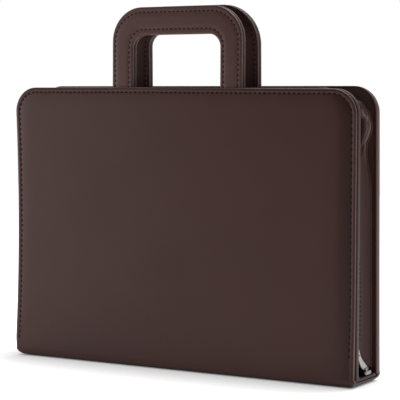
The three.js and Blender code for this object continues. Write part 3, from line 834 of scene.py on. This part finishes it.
def strip_cut(distance, across):
    """Slides the lower ends along to the slanted cut."""
    rise = strip_end_rise * (1 - across) ** strip_end_curve
    slide = 90.0
    from_right = 1 - np.clip((distance - strip_end) / slide, 0, 1)
    from_left = 1 - np.clip((rim_run - strip_end - distance) / slide, 0, 1)
    return strip_place(distance + rise * (from_right - from_left), across)


gusset_tones = (0.0295, 0.0103, 0.0084), (0.035, 0.0127, 0.0105), (0.14, 0.09, 0.08)
gusset_leather = leather("gusset_leather", *gusset_tones, roughness=0.55, sheen=0.07)
gusset_steps = rim_steps(strip_end, fine=1.2)
gusset_section = rounded_section(columns=56, thickness=strip_thickness, round_share=0.025)
gusset_points, gusset_faces = rim_band(gusset_steps, gusset_section, strip_thickness, strip_cut)
gusset_wear_and_painted_light = crest_wear_and_highlight(gusset_steps, gusset_section)
gusset = add_piece("gusset", gusset_points, gusset_faces, gusset_leather, gusset_wear_and_painted_light)
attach(gusset, "case")
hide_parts("gusset_strip")


# The zip tape: a dark woven ribbon behind the teeth. One edge is sewn under the gusset strip and the
# other to the back leaf.
tape_thickness = 1.1
tape_under_strip = 3.0
zip_end = 13.0
right_tape_edge = [
    {"along": 0, "on_leaf": 1},
    {"along": 140, "on_leaf": 1},
    {"along": 200, "on_leaf": 0},
    {"along": 209, "on_leaf": 0},
    {"along": 222, "on_leaf": 0.45},
    {"along": 239, "on_leaf": 0},
]
left_tape_edge = [*right_tape_edge[:2], {"along": 203, "on_leaf": 0}]


def tape_place(distance, across):
    """The tape's outer face, from under the strip to the back leaf: rim, depth and inset."""
    rim = rim_point(distance)
    right, left = (eased(rows, rim["along"], "on_leaf") for rows in (right_tape_edge, left_tape_edge))
    lining_face = lining_face_at(rim["z"]) - piece_gap
    back = lining_face + lining_thickness * np.where(rim["is_left"], left, right)
    front = zip_at(rim, "y") - teeth_width / 2 - tape_under_strip
    return rim, front + (back - front) * across, zip_at(rim, "inset") + teeth_height + piece_gap


def woven(name, deep, light, thread):
    """Plain woven ribbon: fine threads both ways in two tones."""
    material, tree, shader, place = new_material(name, {"Roughness": 0.85, "Specular IOR Level": 0.2})
    weave = add_node(tree, "ShaderNodeTexMagic", {"Scale": 2 * math.pi / thread}, turbulence_depth=0)
    tones = two_tones(tree, deep, light)
    bump = add_node(tree, "ShaderNodeBump", {"Distance": 0.0001})
    link_all(tree, [
        (place, "Object", weave, "Vector"),
        (weave, "Fac", tones, "Fac"),
        (tones, "Color", shader, "Base Color"),
        (weave, "Fac", bump, "Height"),
        (bump, "Normal", shader, "Normal"),
    ])
    return material


tape_cloth = woven("tape_cloth", (0.075, 0.032, 0.03), (0.115, 0.054, 0.05), thread=0.0006)
tape_steps = rim_steps(zip_end, fine=2.0)
tape_section = rounded_section(columns=10, thickness=tape_thickness, round_share=0.03)
tape_points, tape_faces = rim_band(tape_steps, tape_section, tape_thickness, tape_place)
tape = add_piece("zip_ribbon", tape_points, tape_faces, tape_cloth)
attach(tape, "case")
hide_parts("zip_tape")


# The zip teeth: a closed coil of brown nylon, a close row of loops sewn on along the middle of the
# zip. The same nodes later lay the stitches, which are loops of thread along their seams.
def row_tree():
    """Nodes that bend a round thread into a loop and repeat it along a path, a little unevenly."""
    tree = bpy.data.node_groups.new("row_of_loops", "GeometryNodeTree")
    sockets = [("Path", "Geometry"), ("Pitch", "Float"), ("Length", "Float"), ("Rise", "Float"),
               ("Sink", "Float"), ("Radius", "Float"), ("Turn", "Float"), ("Wander", "Float"),
               ("Seed", "Int"), ("Material", "Material")]
    for name, kind in sockets:
        tree.interface.new_socket(name, in_out="INPUT", socket_type="NodeSocket" + kind)
    tree.interface.new_socket("Row", in_out="OUTPUT", socket_type="NodeSocketGeometry")

    def node(kind, values=None, **settings):
        return add_node(tree, kind, values, **settings)

    given = node("NodeGroupInput")
    result = node("NodeGroupOutput")
    curve = node("GeometryNodeMeshToCurve")
    spaced = node("GeometryNodeResampleCurve", mode="LENGTH")
    tangent = node("GeometryNodeInputTangent")
    outward = node("GeometryNodeInputNamedAttribute", {"Name": "outward"}, data_type="FLOAT_VECTOR")
    facing = node("FunctionNodeAxesToRotation", primary_axis="Z", secondary_axis="X")
    least = node("ShaderNodeMath", operation="SUBTRACT")
    most = node("ShaderNodeMath", operation="ADD")
    chance = node("FunctionNodeRandomValue", data_type="FLOAT")
    spin = node("ShaderNodeCombineXYZ")
    spin_turn = node("FunctionNodeEulerToRotation")
    turned = node("FunctionNodeRotateRotation", rotation_space="LOCAL")
    half = node("ShaderNodeMath", {1: 0.5}, operation="MULTIPLY")
    minus_half = node("ShaderNodeMath", {1: -0.5}, operation="MULTIPLY")
    minus_sink = node("ShaderNodeMath", {1: -1}, operation="MULTIPLY")
    start, middle, end = (node("ShaderNodeCombineXYZ") for _ in range(3))
    arch = node("GeometryNodeCurveQuadraticBezier", {"Resolution": 6})
    ring = node("GeometryNodeCurvePrimitiveCircle", {"Resolution": 7})
    tube = node("GeometryNodeCurveToMesh", {"Fill Caps": True})
    placed = node("GeometryNodeInstanceOnPoints")
    real = node("GeometryNodeRealizeInstances")
    rounded = node("GeometryNodeSetShadeSmooth")
    painted = node("GeometryNodeSetMaterial")
    link_all(tree, [
        (given, "Path", curve, "Mesh"),
        (curve, "Curve", spaced, "Curve"),
        (given, "Pitch", spaced, "Length"),
        (outward, "Attribute", facing, "Primary Axis"),
        (tangent, "Tangent", facing, "Secondary Axis"),
        (given, "Turn", least, 0),
        (given, "Wander", least, 1),
        (given, "Turn", most, 0),
        (given, "Wander", most, 1),
        (least, "Value", chance, "Min"),
        (most, "Value", chance, "Max"),
        (given, "Seed", chance, "Seed"),
        (chance, "Value", spin, "Z"),
        (spin, "Vector", spin_turn, "Euler"),
        (facing, "Rotation", turned, "Rotation"),
        (spin_turn, "Rotation", turned, "Rotate By"),
        (given, "Length", half, 0),
        (given, "Length", minus_half, 0),
        (given, "Sink", minus_sink, 0),
        (minus_half, "Value", start, "X"),
        (minus_sink, "Value", start, "Z"),
        (given, "Rise", middle, "Z"),
        (half, "Value", end, "X"),
        (minus_sink, "Value", end, "Z"),
        (start, "Vector", arch, "Start"),
        (middle, "Vector", arch, "Middle"),
        (end, "Vector", arch, "End"),
        (given, "Radius", ring, "Radius"),
        (arch, "Curve", tube, "Curve"),
        (ring, "Curve", tube, "Profile Curve"),
        (spaced, "Curve", placed, "Points"),
        (tube, "Mesh", placed, "Instance"),
        (turned, "Rotation", placed, "Rotation"),
        (placed, "Instances", real, "Geometry"),
        (real, "Geometry", rounded, "Geometry"),
        (rounded, "Geometry", painted, "Geometry"),
        (given, "Material", painted, "Material"),
        (painted, "Geometry", result, "Row"),
    ])
    return tree


rows_of_loops = row_tree()


def row_of_loops(name, paths, sizes, material):
    """Loops along paths of (points, outward ways), in millimetres, as one plain mesh."""
    points = np.concatenate([path[0] for path in paths])
    outward = np.concatenate([path[1] for path in paths])
    lines = []
    start = 0
    for path, _ in paths:
        lines += [(start + i, start + i + 1) for i in range(len(path) - 1)]
        start += len(path)
    mesh = bpy.data.meshes.new(name)
    mesh.from_pydata((points * MM).tolist(), lines, [])
    ways = mesh.attributes.new("outward", "FLOAT_VECTOR", "POINT")
    ways.data.foreach_set("vector", outward.astype(np.float32).ravel())
    holder = bpy.data.objects.new(name + "_path", mesh)
    scene.collection.objects.link(holder)
    rule = holder.modifiers.new("row", "NODES")
    rule.node_group = rows_of_loops
    items = rows_of_loops.interface.items_tree
    sockets = {item.name: item.identifier for item in items if item.in_out == "INPUT"}
    for key, value in sizes.items():
        rule[sockets[key]] = value
    rule[sockets["Material"]] = material
    graph = bpy.context.evaluated_depsgraph_get()
    made = bpy.data.meshes.new_from_object(holder.evaluated_get(graph))
    made.name = name
    bpy.data.objects.remove(holder)
    piece = bpy.data.objects.new(name, made)
    scene.collection.objects.link(piece)
    return piece


def moulded(name, deep, light, roughness, sheen):
    """Moulded nylon: an even colour with a slow change of tone."""
    looks = {"Roughness": roughness, "Specular IOR Level": sheen}
    material, tree, shader, place = new_material(name, looks)
    tone = add_node(tree, "ShaderNodeTexNoise", {"Scale": 300})
    tones = two_tones(tree, deep, light)
    link_all(tree, [
        (place, "Object", tone, "Vector"),
        (tone, "Fac", tones, "Fac"),
        (tones, "Color", shader, "Base Color"),
    ])
    return material


coil_nylon = moulded("coil_nylon", (0.045, 0.02, 0.019), (0.067, 0.033, 0.031), roughness=0.6, sheen=0.03)
coil_end = zip_end + 0.8
coil_lift = 0.2
coil_path_points = 420
coil_rim = rim_point(np.linspace(coil_end, rim_run - coil_end, coil_path_points))
coil_inset = zip_at(coil_rim, "inset") + teeth_height - coil_lift
coil_points = rim_place(coil_rim, zip_at(coil_rim, "y"), coil_inset)
coil_outward = np.stack([coil_rim["out_x"], 0 * coil_inset, coil_rim["out_z"]], axis=-1)
coil_sizes = {"Pitch": 0.0015, "Length": 0.0047, "Rise": 0.0023, "Sink": 0.0001, "Radius": 0.00062,
              "Turn": math.pi / 2, "Wander": 0.03, "Seed": 3}
coil = row_of_loops("zip_coil", [(coil_points, coil_outward)], coil_sizes, coil_nylon)
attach(coil, "case")
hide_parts("zip_teeth")


# The slider and its puller: plain bright metal, cast and tumbled so that every edge is a little
# round. The slider lies at the lower right end of the zip and the puller hangs on its bar.
def bright_metal(name, deep, light):
    """Tumbled metal: a slow change of tone and a fine change of gloss."""
    material, tree, shader, place = new_material(name, {"Metallic": 1})
    tone = add_node(tree, "ShaderNodeTexNoise", {"Scale": 220})
    tones = two_tones(tree, deep, light)
    scratches = add_node(tree, "ShaderNodeTexNoise", {"Scale": 1800})
    gloss = add_node(tree, "ShaderNodeMapRange", {"To Min": 0.26, "To Max": 0.44})
    link_all(tree, [
        (place, "Object", tone, "Vector"),
        (place, "Object", scratches, "Vector"),
        (tone, "Fac", tones, "Fac"),
        (tones, "Color", shader, "Base Color"),
        (scratches, "Fac", gloss, "Value"),
        (gloss, "Result", shader, "Roughness"),
    ])
    return material


def tumbled_copy(node, name, edge_round, material):
    """The solid of a CAD node with its sharp edges rounded."""
    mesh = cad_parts[node].data.copy()
    mesh.name = name
    mesh.materials.clear()
    mesh.materials.append(material)
    shape = bmesh.new()
    shape.from_mesh(mesh)
    bmesh.ops.remove_doubles(shape, verts=shape.verts, dist=1e-6)
    flat = math.radians(1)
    sharp = math.radians(40)
    bmesh.ops.dissolve_limit(shape, angle_limit=flat, verts=shape.verts, edges=shape.edges)
    lines = [line for line in shape.edges if line.calc_face_angle(0) > sharp]
    rounding = {"offset": edge_round * MM, "segments": 2, "profile": 0.5, "clamp_overlap": True}
    bmesh.ops.bevel(shape, geom=lines, affect="EDGES", **rounding)
    for face in shape.faces:
        face.smooth = True
    for line in shape.edges:
        line.smooth = line.calc_face_angle(0) < sharp
    shape.to_mesh(mesh)
    shape.free()
    piece = bpy.data.objects.new(name, mesh)
    scene.collection.objects.link(piece)
    return piece


zip_metal = bright_metal("zip_metal", (0.21, 0.188, 0.182), (0.33, 0.3, 0.292))
for node, name, body, edge_round in (
    ("zip_slider", "slider", "case", 0.15),
    ("zip_puller", "puller", "puller", 0.3),
):
    piece = tumbled_copy(node, name, edge_round, zip_metal)
    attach(piece, body)
    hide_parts(node)


# The handles: two stiff U-shaped handles, each of two padded leather plies sewn together near
# both edges. They come out of the pockets of the covers and can be pushed down into them.
handles = {
    "front": {"rise": 72.4, "corner": 31.0, "leg_width": 22.2},
    "back": {"rise": 74.6, "corner": 37.0, "leg_width": 20.6},
}
handle_width = 136.6
grip_height = 25.4
handle_inner_corner = 12.0
handle_ply = 4.1
handle_faces = {"outer": {"depth": 2.1, "way": 1}, "inner": {"depth": 10.6, "way": -1}}
handle_edge = {"reach": 1.5, "square": 2.3}
handle_seam = 3.7
handle_dip = {"margin": 0.2, "rise": 3.5, "dent": 0.12, "dent_width": 0.8}
grip_spread = 0.33
leg_in_pocket = 40.0


def handle_edges(side):
    """The outer and the inner edge of a handle, at matching steps from the right leg's foot to the
    left leg's foot, as two lists of (x, z) in its leaf's own frame."""
    outer = handle_width / 2
    inner = outer - handles[side]["leg_width"]
    top = front_height + handles[side]["rise"]
    foot = top - handles["front"]["rise"] - leg_in_pocket
    leg_points = 16
    arc_points = 19
    bar_points = 8
    lines = []
    for reach, corner, crown in (
        (outer, handles[side]["corner"], top),
        (inner, handle_inner_corner, top - grip_height),
    ):
        turns = np.linspace(0, math.pi / 2, arc_points)
        leg_z = np.linspace(foot, crown - corner, leg_points)[:-1]
        leg = np.stack([np.full_like(leg_z, reach), leg_z], axis=-1)
        arc = [reach - corner, crown - corner] + corner * np.stack([np.cos(turns), np.sin(turns)], axis=-1)
        bar_x = np.linspace(reach - corner, 0, bar_points)[1:]
        bar = np.stack([bar_x, np.full_like(bar_x, crown)], axis=-1)
        right = np.concatenate([leg, arc, bar])
        left = right[-2::-1] * [-1, 1]
        lines.append(np.concatenate([right, left]))
    return lines


def on_leaf(x, depth, z, side):
    """Places leaf coordinates, depth in from the outer face and z up along it, in the case."""
    y = depth * math.cos(lean) + z * math.sin(lean) - base_depth / 2
    up = z * math.cos(lean) - depth * math.sin(lean)
    way = -1 if side == "back" else 1
    return np.stack([pocket_middles[side] + way * x, way * y, up], axis=-1)


def seam_spread(side):
    """How much further in from the edge the rows lie along the grip than along the legs."""
    line = handle_edges(side)[0][:, 1]
    return 1 + grip_spread * smooth(line.max() - handles[side]["corner"], line.max(), line)


def handle_face_dip(distance):
    """How far a ply's face sinks towards its edge and along its row of stitches."""
    margin = handle_dip["margin"] * (1 - smooth(handle_seam, handle_seam + handle_dip["rise"], distance))
    row = handle_dip["dent"] * np.exp(-((distance - handle_seam) / handle_dip["dent_width"]) ** 2)
    return margin + row


def handle_ply_mesh(side, layer):
    """Points, faces and values of wear and painted light of one ply: a section with rounded edges, swept
    along the handle.
    """
    outer, inner = handle_edges(side)
    width = np.linalg.norm(outer - inner, axis=1)
    reach = handle_edge["reach"]
    square = 2 / handle_edge["square"]
    steps = [reach, 1.9, 2.4, 2.8, 3.2, 3.6, 4.0, 4.6, 5.4, 6.4]
    round_points = 11
    rounding = []
    for turn in np.linspace(0, math.pi, round_points)[1:-1]:
        across = (1 - math.copysign(abs(math.cos(turn)) ** square, math.cos(turn))) / 2
        rounding.append((reach * (1 - math.sin(turn) ** square), across))
    section = [("face", step, 0.0) for step in steps]
    section += [("middle", 0.5, 0.0), ("middle", 1.0, 0.0), ("middle_back", 0.5, 0.0)]
    section += [("face_back", step, 0.0) for step in steps[::-1]]
    section += [("face_back", *place) for place in rounding]
    section += [("face_back", reach, 1.0), ("middle", 1.0, 1.0), ("face", reach, 1.0)]
    section += [("face", *place) for place in rounding[::-1]]
    stretch = (handle_seam * seam_spread(side) - reach) / (handle_seam - reach)
    last = reach + (steps[-1] - reach) * stretch
    points, wear_and_painted_light = [], []
    for kind, value, across in section:
        if kind.startswith("middle"):
            from_near = last + (width / 2 - last) * value
            dip = handle_face_dip(from_near)
        else:
            from_near = value + max(value - reach, 0) * (stretch - 1)
            dip = handle_face_dip(value)
        share = from_near / width
        if kind.endswith("back"):
            share = 1 - share
        xz = outer + (inner - outer) * share[:, None]
        sunk = dip if across == 0 else handle_face_dip(reach)
        sunk = sunk + (handle_ply - sunk) * across
        depth = handle_faces[layer]["depth"] + handle_faces[layer]["way"] * sunk
        points.append(on_leaf(xz[:, 0], depth, xz[:, 1], side))
        # The rounded edges are paler, partly rubbed wear and partly a painted highlight along them.
        wear_and_painted_light.append(np.full(len(width), 4 * across * (1 - across)))
    points = np.stack(points, axis=1)
    return points.reshape(-1, 3), tube_faces(*points.shape[:2]), np.stack(wear_and_painted_light, axis=1).ravel()


handle_tones = (0.055, 0.02, 0.0168), (0.064, 0.0242, 0.0204), (0.095, 0.06, 0.053)
# The inner plies are a darker copy of the handle leather: painted shade, where one handle shades the other.
handle_inside_shaded_tones = (0.034, 0.0116, 0.0094), (0.041, 0.0146, 0.012), handle_tones[2]
handle_leathers = {
    "outer": leather("handle_leather", *handle_tones, roughness=0.45, sheen=0.32),
    "inner": leather("handle_inside_shaded", *handle_inside_shaded_tones, roughness=0.6, sheen=0.1),
}
for side in handles:
    for layer in handle_faces:
        points, faces, wear_and_painted_light = handle_ply_mesh(side, layer)
        piece = add_piece(f"{side}_handle_{layer}_ply", points, faces, handle_leathers[layer], wear_and_painted_light)
        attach(piece, f"{side}_handle")
        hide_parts(f"handle_{side}_{layer}")


# The stitches: rows of dark brown thread, sunk into the leather they hold. One row in three parts
# runs round each cover, one along the front edge of the gusset and two along each face of the handles.
thread = moulded("thread", (0.013, 0.0054, 0.0046), (0.02, 0.0086, 0.0074), roughness=0.85, sheen=0.1)
stitch_sizes = {"Length": 0.002, "Rise": 0.0005, "Sink": 0.0004, "Turn": 0.0, "Wander": 0.08}
seam_step = 1.2
seam_lift = 0.15
seam_parts = {
    "right": {"first": 27.0, "last": side_run + 22.0, "pitch": 5.65, "radius": 0.5},
    "top": {"first": side_run + 27.0, "last": rim_run - side_run - 2.0, "pitch": 4.8, "radius": 0.7},
    "left": {"first": rim_run - side_run + 2.8, "last": rim_run - 17.0, "pitch": 4.8, "radius": 0.5},
}
gusset_row = {"pitch": 4.05, "radius": 0.42, "end_gap": 2.0, "tilt": -0.3}
gusset_row_way = {"foot": 0.22, "top": 0.09, "bend": (75, 125)}
handle_row = {"pitch": 4.5, "radius": 0.7, "sunk": 0.23, "below": 12.0}


def stitches(name, paths, row, seed):
    """One piece of stitches along its paths."""
    sizes = {**stitch_sizes, "Pitch": row["pitch"] * MM, "Radius": row["radius"] * MM, "Seed": seed}
    return row_of_loops(name, paths, sizes, thread)


def cover_seam(is_back, part):
    """Part of the row round one leaf, on the sunk face, with the leaf's outward way."""
    rim = rim_point(np.arange(part["first"], part["last"], seam_step))
    x = rim["x"] - rim["out_x"] * seam_inset
    z = rim["z"] - rim["out_z"] * seam_inset
    station = (front_height - z) / (front_height - cover_outside["radius"])
    dip = margin_dip(seam_inset, rim["out_x"], cover_edge, not is_back) * margin_share(station)
    y = face_at(z) - dip + seam_lift
    if is_back:
        z = z + (back_height - front_height) * smooth(side_run - corner_reach, side_run, rim["z"])
    else:
        z = z - front_droop(x, z)
    side = 1 if is_back else -1
    points = np.stack([x, side * y, z], axis=-1)
    outward = np.zeros_like(points)
    outward[:, 1] = side * math.cos(lean)
    outward[:, 2] = math.sin(lean)
    return points, outward


for name, part in seam_parts.items():
    seams = [cover_seam(is_back, part) for is_back in (False, True)]
    cover_stitches = stitches(f"cover_{name}_stitches", seams, part, seed=5)
    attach(cover_stitches, "case")

gusset_row_end = strip_end + strip_end_rise + gusset_row["end_gap"]
gusset_row_steps = np.arange(gusset_row_end, rim_run - gusset_row_end, seam_step)
gusset_row_rise = np.minimum(gusset_row_steps, rim_run - gusset_row_steps)
gusset_bend = smooth(*gusset_row_way["bend"], gusset_row_rise)
gusset_across = gusset_row_way["foot"] + (gusset_row_way["top"] - gusset_row_way["foot"]) * gusset_bend
gusset_rim, gusset_y, gusset_inset = strip_place(gusset_row_steps, gusset_across)
gusset_tilt = np.full_like(gusset_y, gusset_row["tilt"])
gusset_outward = np.stack([gusset_rim["out_x"], gusset_tilt, gusset_rim["out_z"]], axis=-1)
gusset_seam = rim_place(gusset_rim, gusset_y, gusset_inset), gusset_outward
gusset_stitches = stitches("gusset_stitches", [gusset_seam], gusset_row, seed=6)
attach(gusset_stitches, "case")


def handle_seams(side):
    """Both rows on both faces of one handle, from just inside the pockets."""
    outer, inner = handle_edges(side)
    inset = handle_seam * seam_spread(side) / np.linalg.norm(outer - inner, axis=1)
    sunk = handle_face_dip(handle_seam) + handle_row["sunk"]
    leaf_way = -1 if side == "back" else 1
    paths = []
    for face in handle_faces.values():
        for share in (inset, 1 - inset):
            xz = outer + (inner - outer) * share[:, None]
            xz = xz[xz[:, 1] > front_height - handle_row["below"]]
            points = on_leaf(xz[:, 0], face["depth"] + face["way"] * sunk, xz[:, 1], side)
            outward = np.zeros_like(points)
            outward[:, 1] = -face["way"] * leaf_way
            paths.append((points, outward))
    return paths


for side in handles:
    handle_stitches = stitches(f"{side}_handle_stitches", handle_seams(side), handle_row, seed=7)
    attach(handle_stitches, f"{side}_handle")
